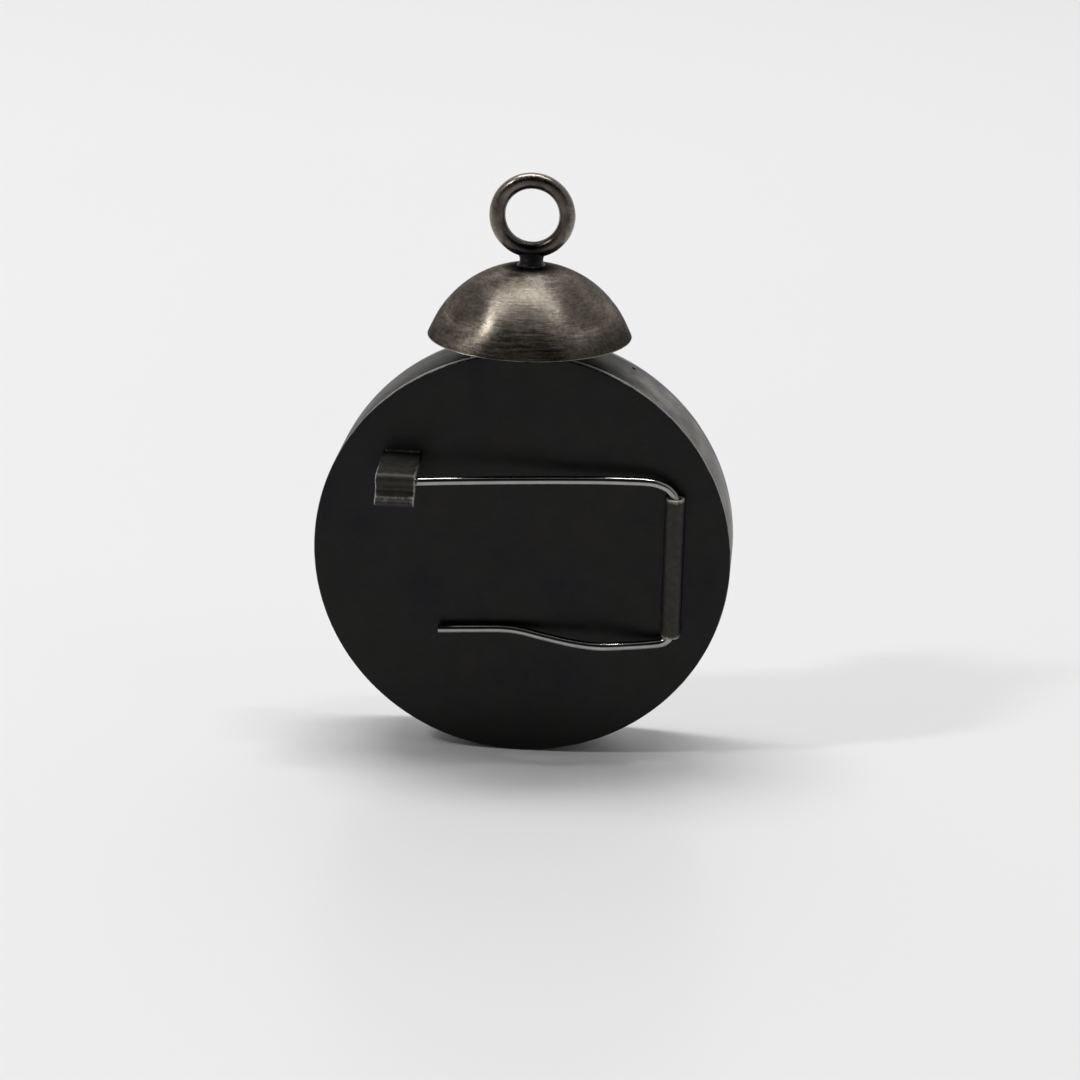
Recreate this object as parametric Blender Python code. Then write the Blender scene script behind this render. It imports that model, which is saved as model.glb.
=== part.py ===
"""Hollow round brooch shaped like a small hanging bell watch, seen from its pin side.

A flat drum-shaped case (two round plates and a band) carries a bell-shaped dome on its top, and a
ring stands on the dome. The pin side has a soldered tube, a bent-strip catch and a sprung wire pin.

All sizes are in metres, +Z is up and +X is to the right of someone who looks at the pin side.
The pin side faces -Y. The origin is the centre of the front plate's outer face.
"""

import math

import bmesh
import bpy
from mathutils import Matrix, Vector

MM = 0.001

# Driving dimensions of the case: two plates and the band between them.
CASE_RADIUS = 22.5 * MM
CASE_DEPTH = 8.75 * MM
PLATE_THICKNESS = 0.9 * MM
PLATE_EDGE = 0.15 * MM
BAND_WALL = 1.0 * MM
SEAM = 0.2 * MM
VENT_RADIUS = 0.25 * MM
VENT_ANGLE = math.radians(60.5)
VENT_FROM_FRONT = 1.75 * MM

# The dome: part of a sphere, carried on down to its rim by a short cone.
DOME_RADIUS = 11.42 * MM
DOME_CENTRE_Z = 19.85 * MM
DOME_CAP_ANGLE = math.radians(65.0)
DOME_RIM_Z = 23.45 * MM
DOME_WALL = 0.8 * MM
DOME_RIM_EDGE = 0.2 * MM

# The hidden post that carries the dome, and its round foot on the band.
POST_RADIUS = 1.5 * MM
POST_FOOT_RADIUS = 2.3 * MM
POST_FOOT_HEIGHT = 0.6 * MM
POST_EDGE = 0.2 * MM

# The ring, and the short neck that joins it to the dome.
RING_MAJOR_RADIUS = 3.70 * MM
RING_WIRE_RADIUS = 0.85 * MM
RING_CENTRE_Z = 36.5 * MM
NECK_WAIST_RADIUS = 1.28 * MM
NECK_FOOT_RADIUS = 1.75 * MM
NECK_TOP_RADIUS = 1.6 * MM
NECK_RISE = 0.65 * MM
NECK_FOOT_EDGE = 0.12 * MM

# The hinge tube, soldered upright on the back plate.
HINGE_X = 16.4 * MM
TUBE_RADIUS = 1.0 * MM
TUBE_BORE_RADIUS = 0.65 * MM
TUBE_LENGTH = 15.7 * MM
TUBE_EDGE = 0.1 * MM

# The catch: a strip bent into a hook that is open below. Its middle line is given as
# (height over the back plate, height along Z, bend radius) at each corner.
CATCH_X = -12.95 * MM
CATCH_WIDTH = 4.2 * MM
CATCH_THICKNESS = 0.75 * MM
CATCH_EDGE = 0.1 * MM
CATCH_LEDGE_Z = 10.83 * MM
CATCH_CREST = (6.10 * MM, 10.05 * MM, 0.45 * MM)
CATCH_WAIST = (5.42 * MM, 8.68 * MM, 0.9 * MM)
CATCH_LIP = (6.75 * MM, 7.35 * MM)

# The pin: one hard wire. Its upper leg is the stem, its lower leg is the tail that springs on the
# plate. Each point is (distance along X, height over the back plate, height along Z), in mm.
WIRE_RADIUS = 0.475 * MM
FLEX_X = 11.7 * MM
FLEX_STANDOFF = 1.92 * MM
FLEX_Z = 9.7 * MM
STEM_ROUTE = (
    (11.55, 1.93, 9.70),
    (8.5, 2.20, 9.72),
    (4.3, 2.55, 9.64),
    (0.1, 3.40, 9.69),
    (-4.1, 4.12, 9.67),
    (-8.3, 4.36, 9.47),
    (-11.6, 4.42, 9.25),
    (-14.6, 4.42, 9.10),
)
STEM_TAPER_FROM_X = -12.0 * MM
STEM_POINT_RADIUS = 0.12 * MM
UPPER_BEND_ROUTE = (
    (11.85, 1.90, 9.70),
    (13.2, 1.72, 9.64),
    (14.3, 1.50, 9.45),
    (15.35, 1.30, 9.00),
    (15.93, 1.22, 8.52),
    (16.26, 1.20, 8.06),
    (16.4, 1.20, 7.50),
    (16.4, 1.20, 6.90),
)
TAIL_ROUTE = (
    (16.4, 1.20, -6.90),
    (16.4, 1.20, -7.45),
    (16.26, 1.20, -8.00),
    (15.85, 1.20, -8.44),
    (15.2, 1.22, -8.70),
    (14.1, 1.36, -8.82),
    (12.2, 1.95, -8.84),
    (9.0, 2.95, -8.76),
    (6.2, 2.66, -8.68),
    (3.0, 1.85, -8.42),
    (0.4, 1.12, -8.16),
    (-1.7, 0.82, -8.10),
    (-5.3, 0.80, -8.29),
    (-8.75, 0.80, -8.50),
)

# How finely round shapes are divided.
CASE_SEGMENTS = 72
DOME_SEGMENTS = 48
DOME_STEPS = 8
RING_SEGMENTS = 44
RING_WIRE_SEGMENTS = 12
SMALL_SEGMENTS = 24
VENT_SEGMENTS = 12
BEND_STEPS = 4
ROUTE_STEPS = 4
WIRE_BEVEL_RESOLUTION = 3
SMOOTH_ANGLE = math.radians(35.0)
AXIS_TOLERANCE = 1e-7

# Places that follow from the sizes above.
BACK_FACE_Y = -CASE_DEPTH
CASE_MIDDLE_Y = -CASE_DEPTH / 2
HINGE_Y = BACK_FACE_Y - SEAM - TUBE_RADIUS
FACE_THE_FRONT = Matrix.Rotation(math.pi / 2, 4, "X")


def clear_scene():
    for item in list(bpy.data.objects):
        bpy.data.objects.remove(item, do_unlink=True)


def make_material(name, colour, roughness, metallic):
    material = bpy.data.materials.new(name)
    material.use_nodes = True
    shader = material.node_tree.nodes["Principled BSDF"]
    shader.inputs["Base Color"].default_value = (*colour, 1.0)
    shader.inputs["Roughness"].default_value = roughness
    shader.inputs["Metallic"].default_value = metallic
    return material


def add_object(name, mesh, material, place=Matrix.Identity(4)):
    """Put a bmesh into the scene as one smooth-shaded object with a material of its own."""
    bmesh.ops.recalc_face_normals(mesh, faces=mesh.faces)
    data = bpy.data.meshes.new(name)
    mesh.to_mesh(data)
    mesh.free()
    data.shade_smooth()
    data.set_sharp_from_angle(angle=SMOOTH_ANGLE)
    data.materials.append(material)
    item = bpy.data.objects.new(name, data)
    item.matrix_world = place
    bpy.context.scene.collection.objects.link(item)
    return item


def add_empty(name, location):
    item = bpy.data.objects.new(name, None)
    item.location = location
    bpy.context.scene.collection.objects.link(item)
    return item


def bridge_rings(mesh, first, second):
    """Join two rings of vertices with faces; a ring of one vertex closes on the axis."""
    count = max(len(first), len(second))
    for index in range(count):
        following = (index + 1) % count
        corners = [first[index % len(first)]]
        if len(first) > 1:
            corners.append(first[following])
        if len(second) > 1:
            corners.append(second[following])
        corners.append(second[index % len(second)])
        mesh.faces.new(corners)


def turned(section, segments, closed):
    """Turn a section of (radius, height) points about +Z. A closed section makes a ring."""
    mesh = bmesh.new()
    rings = []
    for radius, height in section:
        count = 1 if radius < AXIS_TOLERANCE else segments
        angles = [math.tau * index / count for index in range(count)]
        ring = [mesh.verts.new((radius * math.cos(a), radius * math.sin(a), height)) for a in angles]
        rings.append(ring)
    for first, second in zip(rings, rings[1:]):
        bridge_rings(mesh, first, second)
    if closed:
        bridge_rings(mesh, rings[-1], rings[0])
    return mesh


def arc(centre, radius, start, end, steps):
    """Points on an arc, as (first, second) pairs, from one angle to another."""
    points = []
    for index in range(steps + 1):
        angle = start + (end - start) * index / steps
        points.append((centre[0] + radius * math.cos(angle), centre[1] + radius * math.sin(angle)))
    return points


def plate_section(low, high):
    """Half-section of a round plate with a small chamfer on both edges."""
    return [
        (0.0, low),
        (CASE_RADIUS - PLATE_EDGE, low),
        (CASE_RADIUS, low + PLATE_EDGE),
        (CASE_RADIUS, high - PLATE_EDGE),
        (CASE_RADIUS - PLATE_EDGE, high),
        (0.0, high),
    ]


def add_front_plate(material):
    mesh = turned(plate_section(0.0, PLATE_THICKNESS), CASE_SEGMENTS, closed=False)
    add_object("front_plate", mesh, material, FACE_THE_FRONT)


def add_back_plate(material):
    mesh = turned(plate_section(CASE_DEPTH - PLATE_THICKNESS, CASE_DEPTH), CASE_SEGMENTS, closed=False)
    add_object("back_plate", mesh, material, FACE_THE_FRONT)


def add_vent_cutter(material):
    """A thin rod that crosses the band wall where the vent hole goes."""
    mesh = turned(
        [(0.0, -BAND_WALL), (VENT_RADIUS, -BAND_WALL), (VENT_RADIUS, BAND_WALL), (0.0, BAND_WALL)],
        VENT_SEGMENTS,
        closed=False,
    )
    distance = CASE_RADIUS - BAND_WALL / 2
    location = Vector((
        distance * math.cos(VENT_ANGLE),
        -VENT_FROM_FRONT,
        distance * math.sin(VENT_ANGLE),
    ))
    outward = Vector((math.cos(VENT_ANGLE), 0.0, math.sin(VENT_ANGLE)))
    turn = outward.to_track_quat("Z", "Y").to_matrix().to_4x4()
    cutter = add_object("vent_cutter", mesh, material, Matrix.Translation(location) @ turn)
    cutter.hide_render = True
    cutter.display_type = "WIRE"
    return cutter


def add_case_band(material):
    low = PLATE_THICKNESS + SEAM
    high = CASE_DEPTH - PLATE_THICKNESS - SEAM
    inner = CASE_RADIUS - BAND_WALL
    section = [(CASE_RADIUS, low), (CASE_RADIUS, high), (inner, high), (inner, low)]
    mesh = turned(section, CASE_SEGMENTS, closed=True)
    band = add_object("case_band", mesh, material, FACE_THE_FRONT)
    vent = band.modifiers.new("vent", "BOOLEAN")
    vent.operation = "DIFFERENCE"
    vent.solver = "EXACT"
    vent.object = add_vent_cutter(material)


def dome_outline(radius, rim_z):
    """One side of the dome's shell: from the apex down the sphere, then straight to the rim."""
    points = []
    for index in range(DOME_STEPS + 1):
        angle = DOME_CAP_ANGLE * index / DOME_STEPS
        points.append((radius * math.sin(angle), DOME_CENTRE_Z + radius * math.cos(angle)))
    last_radius, last_z = points[-1]
    rim_radius = last_radius + (last_z - rim_z) / math.tan(DOME_CAP_ANGLE)
    points.append((rim_radius, rim_z))
    return points


def add_dome(material):
    outer = dome_outline(DOME_RADIUS, DOME_RIM_Z + DOME_RIM_EDGE)
    inner = dome_outline(DOME_RADIUS - DOME_WALL, DOME_RIM_Z)
    rim_radius = outer[-1][0] - DOME_RIM_EDGE / 2
    section = outer + [(rim_radius, DOME_RIM_Z)] + inner[::-1]
    mesh = turned(section, DOME_SEGMENTS, closed=False)
    add_object("dome", mesh, material, Matrix.Translation((0.0, CASE_MIDDLE_Y, 0.0)))


def add_dome_post(material):
    """The post stands on the band and ends just under the inside of the dome."""
    inner_radius = DOME_RADIUS - DOME_WALL
    foot_z = CASE_RADIUS + SEAM
    top_z = DOME_CENTRE_Z + math.sqrt(inner_radius**2 - POST_RADIUS**2) - SEAM
    section = [
        (0.0, foot_z),
        (POST_FOOT_RADIUS, foot_z),
        (POST_FOOT_RADIUS, foot_z + POST_FOOT_HEIGHT - POST_EDGE),
        (POST_FOOT_RADIUS - POST_EDGE, foot_z + POST_FOOT_HEIGHT),
        (POST_RADIUS, foot_z + POST_FOOT_HEIGHT),
        (POST_RADIUS, top_z - POST_EDGE),
        (POST_RADIUS - POST_EDGE, top_z),
        (0.0, top_z),
    ]
    mesh = turned(section, SMALL_SEGMENTS, closed=False)
    add_object("dome_post", mesh, material, Matrix.Translation((0.0, CASE_MIDDLE_Y, 0.0)))


def ring_mesh(wire_radius, wire_segments):
    section = arc((RING_MAJOR_RADIUS, 0.0), wire_radius, 0.0, math.tau, wire_segments)[:-1]
    return turned(section, RING_SEGMENTS, closed=True)


def ring_place():
    return Matrix.Translation((0.0, CASE_MIDDLE_Y, RING_CENTRE_Z)) @ FACE_THE_FRONT


def add_bail_ring(material):
    add_object("bail_ring", ring_mesh(RING_WIRE_RADIUS, RING_WIRE_SEGMENTS), material, ring_place())


def add_ring_neck(material):
    """A waisted stub: its foot follows the dome and its top is a saddle under the ring."""
    apex_z = DOME_CENTRE_Z + DOME_RADIUS + SEAM
    foot_z = DOME_CENTRE_Z + math.sqrt(DOME_RADIUS**2 - NECK_FOOT_RADIUS**2) + SEAM
    ring_bottom_z = RING_CENTRE_Z - RING_MAJOR_RADIUS - RING_WIRE_RADIUS
    top_z = ring_bottom_z + NECK_RISE
    section = [
        (0.0, apex_z),
        (NECK_FOOT_RADIUS, foot_z),
        (NECK_FOOT_RADIUS, foot_z + NECK_FOOT_EDGE),
        ((NECK_FOOT_RADIUS + NECK_WAIST_RADIUS) / 2, apex_z + NECK_FOOT_EDGE),
        (NECK_WAIST_RADIUS, ring_bottom_z - SEAM),
        (NECK_WAIST_RADIUS, ring_bottom_z),
        (NECK_TOP_RADIUS, top_z),
        (0.0, top_z),
    ]
    place = Matrix.Translation((0.0, CASE_MIDDLE_Y, 0.0))
    neck = add_object("ring_neck", turned(section, SMALL_SEGMENTS, closed=False), material, place)
    cutter_mesh = ring_mesh(RING_WIRE_RADIUS + SEAM, RING_WIRE_SEGMENTS)
    cutter = add_object("ring_cutter", cutter_mesh, material, ring_place())
    cutter.hide_render = True
    cutter.display_type = "WIRE"
    saddle = neck.modifiers.new("saddle", "BOOLEAN")
    saddle.operation = "DIFFERENCE"
    saddle.solver = "EXACT"
    saddle.object = cutter


def add_hinge_tube(material):
    end = TUBE_LENGTH / 2
    section = [
        (TUBE_BORE_RADIUS, -end),
        (TUBE_RADIUS - TUBE_EDGE, -end),
        (TUBE_RADIUS, -end + TUBE_EDGE),
        (TUBE_RADIUS, end - TUBE_EDGE),
        (TUBE_RADIUS - TUBE_EDGE, end),
        (TUBE_BORE_RADIUS, end),
    ]
    mesh = turned(section, SMALL_SEGMENTS, closed=True)
    add_object("hinge_tube", mesh, material, Matrix.Translation((HINGE_X, HINGE_Y, 0.0)))


def rounded_corner(before, corner, after, radius):
    """Points that round a corner of a line with a bend of the given radius."""
    corner = Vector(corner)
    arriving = (Vector(before) - corner).normalized()
    leaving = (Vector(after) - corner).normalized()
    half_angle = arriving.angle(leaving) / 2
    centre = corner + (arriving + leaving).normalized() * (radius / math.sin(half_angle))
    reach = radius / math.tan(half_angle)
    first = corner + arriving * reach - centre
    last = corner + leaving * reach - centre
    turn = first.angle_signed(last)
    points = []
    for index in range(BEND_STEPS + 1):
        step = first.copy()
        step.rotate(Matrix.Rotation(-turn * index / BEND_STEPS, 2))
        points.append(centre + step)
    return points


def catch_middle_line():
    """The strip's middle line, as (height over the back plate, Z), from the plate to the lip."""
    start = Vector((SEAM, CATCH_LEDGE_Z))
    crest = CATCH_CREST[:2]
    waist = CATCH_WAIST[:2]
    line = [start]
    line += rounded_corner(start, crest, waist, CATCH_CREST[2])
    line += rounded_corner(crest, waist, CATCH_LIP, CATCH_WAIST[2])
    line.append(Vector(CATCH_LIP))
    return line


def offset_line(line, distance):
    """The same line moved sideways by a distance, with mitred corners."""
    moved = []
    for index, point in enumerate(line):
        ahead = (line[min(index + 1, len(line) - 1)] - point).normalized()
        behind = (point - line[max(index - 1, 0)]).normalized()
        along = (ahead + behind).normalized()
        reference = ahead if ahead.length > 0.0 else behind
        side = Vector((-along.y, along.x))
        mitre = max(along.dot(reference), 0.5)
        moved.append(point + side * (distance / mitre))
    return moved


def add_catch(material):
    half = CATCH_THICKNESS / 2
    middle = catch_middle_line()
    outline = offset_line(middle, half) + offset_line(middle, -half)[::-1]
    mesh = bmesh.new()
    left_x = CATCH_X - CATCH_WIDTH / 2
    face = mesh.faces.new([mesh.verts.new((left_x, BACK_FACE_Y - out, up)) for out, up in outline])
    pulled = bmesh.ops.extrude_face_region(mesh, geom=[face])
    corners = [item for item in pulled["geom"] if isinstance(item, bmesh.types.BMVert)]
    bmesh.ops.translate(mesh, verts=corners, vec=(CATCH_WIDTH, 0.0, 0.0))
    catch = add_object("catch", mesh, material)
    edges = catch.modifiers.new("worn_edges", "BEVEL")
    edges.width = CATCH_EDGE
    edges.segments = 1
    edges.limit_method = "ANGLE"
    edges.angle_limit = math.radians(50.0)


def pin_side_point(across, standoff, up):
    """A point given in mm as X, height over the back plate, and Z."""
    return Vector((across * MM, BACK_FACE_Y - standoff * MM, up * MM))


def smooth_route(route):
    """A smooth curve through the points of a route (a Catmull-Rom spline)."""
    points = [pin_side_point(*point) for point in route]
    padded = [points[0]] + points + [points[-1]]
    smooth = []
    for index in range(len(points) - 1):
        before, start, end, after = padded[index:index + 4]
        for step in range(ROUTE_STEPS):
            t = step / ROUTE_STEPS
            bend = (before * 2 - start * 5 + end * 4 - after) * t**2
            twist = (start * 3 - before - end * 3 + after) * t**3
            smooth.append((start * 2 + (end - before) * t + bend + twist) / 2)
    smooth.append(points[-1])
    return smooth


def add_wire(name, points, radii, material, holder):
    """A round wire through the points, carried by the empty that stands on its joint."""
    curve = bpy.data.curves.new(name, "CURVE")
    curve.dimensions = "3D"
    curve.bevel_depth = WIRE_RADIUS
    curve.bevel_resolution = WIRE_BEVEL_RESOLUTION
    curve.use_fill_caps = True
    spline = curve.splines.new("POLY")
    spline.points.add(len(points) - 1)
    centre = holder.matrix_world.translation
    for slot, point, radius in zip(spline.points, points, radii):
        slot.co = (*(point - centre), 1.0)
        slot.radius = radius / WIRE_RADIUS
    spline.use_smooth = True
    curve.materials.append(material)
    wire = bpy.data.objects.new(name, curve)
    wire.parent = holder
    bpy.context.scene.collection.objects.link(wire)


def stem_radius(point):
    """Full wire radius along the stem, less towards its sharpened point."""
    tip_x = STEM_ROUTE[-1][0] * MM
    share = (STEM_TAPER_FROM_X - point.x) / (STEM_TAPER_FROM_X - tip_x)
    return WIRE_RADIUS + (STEM_POINT_RADIUS - WIRE_RADIUS) * max(share, 0.0)


def add_pin(material):
    """The wire in two nodes, split where it flexes, each with its origin on its own joint."""
    swing_axis = add_empty("pin_swing_axis", (HINGE_X, HINGE_Y, 0.0))
    flex_axis = add_empty("pin_flex_axis", (FLEX_X, BACK_FACE_Y - FLEX_STANDOFF, FLEX_Z))
    bpy.context.view_layer.update()
    spring_points = smooth_route(UPPER_BEND_ROUTE) + smooth_route(TAIL_ROUTE)
    add_wire("pin_spring", spring_points, [WIRE_RADIUS] * len(spring_points), material, swing_axis)
    stem_points = smooth_route(STEM_ROUTE)
    add_wire("pin_stem", stem_points, [stem_radius(point) for point in stem_points], material, flex_axis)
    swing_place = swing_axis.matrix_world.copy()
    flex_axis.parent = swing_axis
    flex_axis.matrix_parent_inverse = swing_place.inverted()


def main():
    clear_scene()
    dark_silver = make_material("dark_silver", (0.012, 0.012, 0.012), 0.38, 1.0)
    band_silver = make_material("band_silver", (0.23, 0.22, 0.21), 0.42, 1.0)
    dome_silver = make_material("dome_silver", (0.16, 0.15, 0.13), 0.35, 1.0)
    ring_silver = make_material("ring_silver", (0.13, 0.12, 0.11), 0.28, 1.0)
    finding_silver = make_material("finding_silver", (0.05, 0.045, 0.04), 0.4, 1.0)
    pin_steel = make_material("pin_steel", (0.62, 0.61, 0.59), 0.12, 1.0)
    add_front_plate(dark_silver)
    add_back_plate(dark_silver)
    add_case_band(band_silver)
    add_dome(dome_silver)
    add_dome_post(dome_silver)
    add_ring_neck(ring_silver)
    add_bail_ring(ring_silver)
    add_hinge_tube(finding_silver)
    add_catch(finding_silver)
    add_pin(pin_steel)


main()
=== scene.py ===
"""The brooch as it looks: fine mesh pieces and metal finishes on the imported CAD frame.

All sizes are in metres, +Z is up, the pin side faces -Y and +X is towards the hinge tube. The origin
is the centre of the front plate's outer face. The brooch stands on its edge on a pale floor.
"""

import math

import bmesh
import bpy
from mathutils import Matrix, Vector, noise


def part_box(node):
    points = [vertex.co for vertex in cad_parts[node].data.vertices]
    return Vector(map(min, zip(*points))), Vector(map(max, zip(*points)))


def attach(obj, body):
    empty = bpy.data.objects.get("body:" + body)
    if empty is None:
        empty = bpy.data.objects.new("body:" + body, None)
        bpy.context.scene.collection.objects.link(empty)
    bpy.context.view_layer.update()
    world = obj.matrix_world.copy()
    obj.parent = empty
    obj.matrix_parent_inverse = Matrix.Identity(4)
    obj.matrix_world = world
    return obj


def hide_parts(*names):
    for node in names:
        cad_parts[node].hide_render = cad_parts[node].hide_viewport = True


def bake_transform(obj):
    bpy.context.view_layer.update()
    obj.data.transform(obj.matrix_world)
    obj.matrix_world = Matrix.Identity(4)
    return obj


MM = 0.001

# Sizes that the CAD boxes don't give. First the case, with its vent hole.
PLATE_EDGE = 0.13 * MM
BAND_WALL = 1.0 * MM
BAND_EDGE = 0.04 * MM
VENT_RADIUS = 0.25 * MM
VENT_ANGLE = math.radians(60.5)
VENT_FROM_FRONT = 1.75 * MM

# The dome: its sphere, how far down the sphere it is cut, and how high its rim's two corners stand over
# the rim's lowest point. Its post sinks a little into the case.
DOME_RADIUS = 11.42 * MM
DOME_CAP_ANGLE = math.radians(65.0)
DOME_WALL = 0.8 * MM
DOME_RIM_OUTSIDE = 0.112 * MM
DOME_RIM_INSIDE = 0.088 * MM
POST_RADIUS = 1.5 * MM
POST_FOOT_HEIGHT = 0.6 * MM
POST_SINK = 0.15 * MM

# The ring, and the solder neck under it: it sinks into the dome, narrows to its waist in a hollow curve,
# climbs round the ring's foot as it flares, and gets thinner from front to back.
RING_WIRE_RADIUS = 0.85 * MM
RING_UNEVENNESS = 0.02 * MM
NECK_WAIST_RADIUS = 1.26 * MM
NECK_SPREAD_RADIUS = 1.95 * MM
NECK_SINK = 0.05 * MM
NECK_WAIST_LIFT = 0.1 * MM
NECK_CLIMB = 0.75 * MM
NECK_FLARE = 0.75 * MM
NECK_UNEVENNESS = 0.04 * MM
NECK_HOLLOW = 1.2
NECK_THINNING = 0.6

TUBE_BORE_RADIUS = 0.65 * MM
TUBE_LIP = 0.12 * MM

# The catch's middle line: its crest and waist are (height over the back plate, Z, bend radius), and its
# lip's end is (height, Z). Its ledge starts a little inside the plate.
CATCH_THICKNESS = 0.75 * MM
CATCH_EDGE = 0.14 * MM
CATCH_CREST = (6.10 * MM, 10.05 * MM, 0.45 * MM)
CATCH_WAIST = (5.42 * MM, 8.68 * MM, 0.9 * MM)
CATCH_LIP = (6.75 * MM, 7.35 * MM)
CATCH_LEDGE_Z = 10.83 * MM
CATCH_ROOT = 0.05 * MM

# The solder beside the tube: how far it reaches out on the plate, how high it climbs the tube and at
# what share of the tube's radius, how low its hollow lies, how far it sinks into the plate, and how
# far it stops short of the tube's ends. Then its unevenness and its thinner ends.
SOLDER_REACH = 0.28 * MM
SOLDER_CLIMB = 0.7 * MM
SOLDER_GRIP = 0.94
SOLDER_SAG = 0.10 * MM
SOLDER_SINK = 0.03 * MM
SOLDER_INSET = 0.12 * MM
SOLDER_RIPPLE = 0.25
SOLDER_THIN_END = 0.45
SOLDER_END_STEPS = 4

# The bead of solder at the catch's foot: its middle lies a little out from the plate and below the
# ledge's top face.
BEAD_RADIUS = 0.20 * MM
BEAD_OFFSET = 0.02 * MM
BEAD_INSET = 0.25 * MM
BEAD_RIPPLE = 0.35

# Bright marks, partly wear and partly painted highlight: how far they reach from the tube's ends, from the
# catch's side edges, crest and lip, and how strong they are there. The crest's is a painted highlight.
# The side edges' marks grow with the height over the plate, and the catch's foot gets painted shade.
TUBE_WEAR = 0.35 * MM
SIDE_WEAR_AND_HIGHLIGHT = 0.24 * MM
SIDE_HIGHLIGHT_FULL_OUT = 5.0 * MM
CREST_HIGHLIGHT = 0.30 * MM
CREST_HIGHLIGHT_SHARE = 0.62
LIP_BRIGHTENING = 0.25 * MM
LIP_BRIGHT_BELOW_WAIST = 0.20 * MM
LIP_BRIGHT_SHARE = 0.27
BEAD_BRIGHT_SHARE = 0.30
CATCH_SHADE_OUT = 4.5 * MM

# The pin's route: (distance along X, height over the back plate, height along Z) in mm. The stem runs
# from the upper bend to its point, and the tail from the tube's lower end.
WIRE_RADIUS = 0.475 * MM
STEM_ROUTE = (
    (11.55, 1.93, 9.70),
    (8.5, 2.20, 9.72),
    (4.3, 2.55, 9.64),
    (0.1, 3.40, 9.69),
    (-4.1, 4.12, 9.67),
    (-8.3, 4.36, 9.47),
    (-11.6, 4.42, 9.25),
    (-14.6, 4.42, 9.10),
)
UPPER_BEND_ROUTE = (
    (11.85, 1.90, 9.70),
    (13.2, 1.72, 9.64),
    (14.3, 1.50, 9.45),
    (15.35, 1.30, 9.00),
    (15.93, 1.22, 8.52),
    (16.26, 1.20, 8.06),
    (16.4, 1.20, 7.50),
    (16.4, 1.20, 6.90),
)
TAIL_ROUTE = (
    (16.4, 1.20, -6.90),
    (16.4, 1.20, -7.45),
    (16.26, 1.20, -8.00),
    (15.85, 1.20, -8.44),
    (15.2, 1.22, -8.70),
    (14.1, 1.36, -8.82),
    (12.2, 1.95, -8.84),
    (9.0, 2.95, -8.76),
    (6.2, 2.66, -8.68),
    (3.0, 1.85, -8.42),
    (0.4, 1.12, -8.16),
    (-1.7, 0.82, -8.10),
    (-5.3, 0.80, -8.29),
    (-8.75, 0.80, -8.50),
)
STEM_TAPER_FROM_X = -12.0 * MM
STEM_POINT_RADIUS = 0.12 * MM

# The wire's two pieces meet at the split and lap a little on both sides of it, and there the stem is
# slightly thinner than the tail. The split and the flex end mark a stretch of the stem.
WIRE_SPLIT_X = 13.6 * MM
WIRE_LAP = 0.1 * MM
LAP_SHARE = 0.97
FLEX_END_X = 9.8 * MM

# How finely shapes are divided, and which edges stay sharp or get a bevel.
CASE_SEGMENTS = 288
DOME_SEGMENTS = 192
DOME_STEPS = 40
RING_SEGMENTS = 160
RING_WIRE_SEGMENTS = 48
SMALL_SEGMENTS = 72
WIRE_SIDES = 32
ROUTE_STEPS = 10
ROUND_STEPS = 6
EDGE_STEPS = 3
NECK_STEPS = 12
TUBE_STEPS = 24
AXLE_STEPS = 12
FILLET_STEPS = 6
TUBE_SOLDER_STEPS = 60
CATCH_SOLDER_STEPS = 40
CATCH_ACROSS = 28
CATCH_BEND_STEPS = 8
CATCH_STEP = 0.25 * MM
PLATE_RINGS = (0.15, 0.3, 0.45, 0.6, 0.75, 0.88, 0.96)
FLOOR_RINGS = (0.0, 0.1, 0.25, 0.5, 0.75, 1.0)
SMOOTH_ANGLE = math.radians(40.0)
BEVEL_ANGLE = math.radians(60.0)
BEVEL_STEPS = 4
AXIS_TOLERANCE = 1e-7

# Where the camera stands: its turn and rise about the pin side, its roll, its distance from the place
# on the back plate that it looks at, and its lens.
CAMERA_TURN = math.radians(4.70)
CAMERA_RISE = math.radians(19.05)
CAMERA_ROLL = math.radians(1.4)
CAMERA_DISTANCE = 336.9 * MM
CAMERA_AIM_X = 2.00 * MM
CAMERA_AIM_Z = 1.99 * MM
CAMERA_LENS_MM = 104.65
CAMERA_SENSOR_MM = 36.0
CAMERA_NEAR = 10.0 * MM

# The tent's open front: how far it reaches to the sides and up for each step ahead, and where the
# table's far edge ends it below. Then how softly its parts end, and how strongly they glow.
TENT_SIDE = 1.3
TENT_ROOF = 3.2
TABLE_EDGE = 0.20
TENT_EDGE_FADE = (-0.06, 0.10)
BACK_FADE = (0.45, 0.85)
TENT_GLOW = 0.40
FRONT_GLOW = 0.012
BACK_GLOW = 0.50
TENT_WHITE = (0.99, 0.985, 1.0, 1.0)

# The lamps in metres and watts: name, place, what it points at, width, height, power.
LAMPS = (
    ("overhead", (-0.30, 0.28, 1.60), (-0.30, 0.28, 0.0), 1.3, 0.32, 15.5),
    ("left_lamp", (-0.95, -0.45, 1.00), (0.0, 0.0, 0.0), 0.09, 0.16, 3.6),
    ("right_lamp", (0.50, 0.05, 1.50), (0.0, 0.0, 0.0), 0.07, 0.30, 2.0),
)

FLOOR_HALF_SIZE = 6.0


# ---------------------------------------------------------------- mesh helpers


def add_piece(name, mesh, material, body):
    """Put a bmesh, made in the row frame, into the scene as a smooth piece. It rides on a body, if any."""
    bmesh.ops.recalc_face_normals(mesh, faces=mesh.faces)
    data = bpy.data.meshes.new(name)
    mesh.to_mesh(data)
    mesh.free()
    data.shade_smooth()
    data.set_sharp_from_angle(angle=SMOOTH_ANGLE)
    data.materials.append(material)
    piece = bpy.data.objects.new(name, data)
    bpy.context.scene.collection.objects.link(piece)
    if body is not None:
        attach(piece, body)
    return piece


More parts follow.
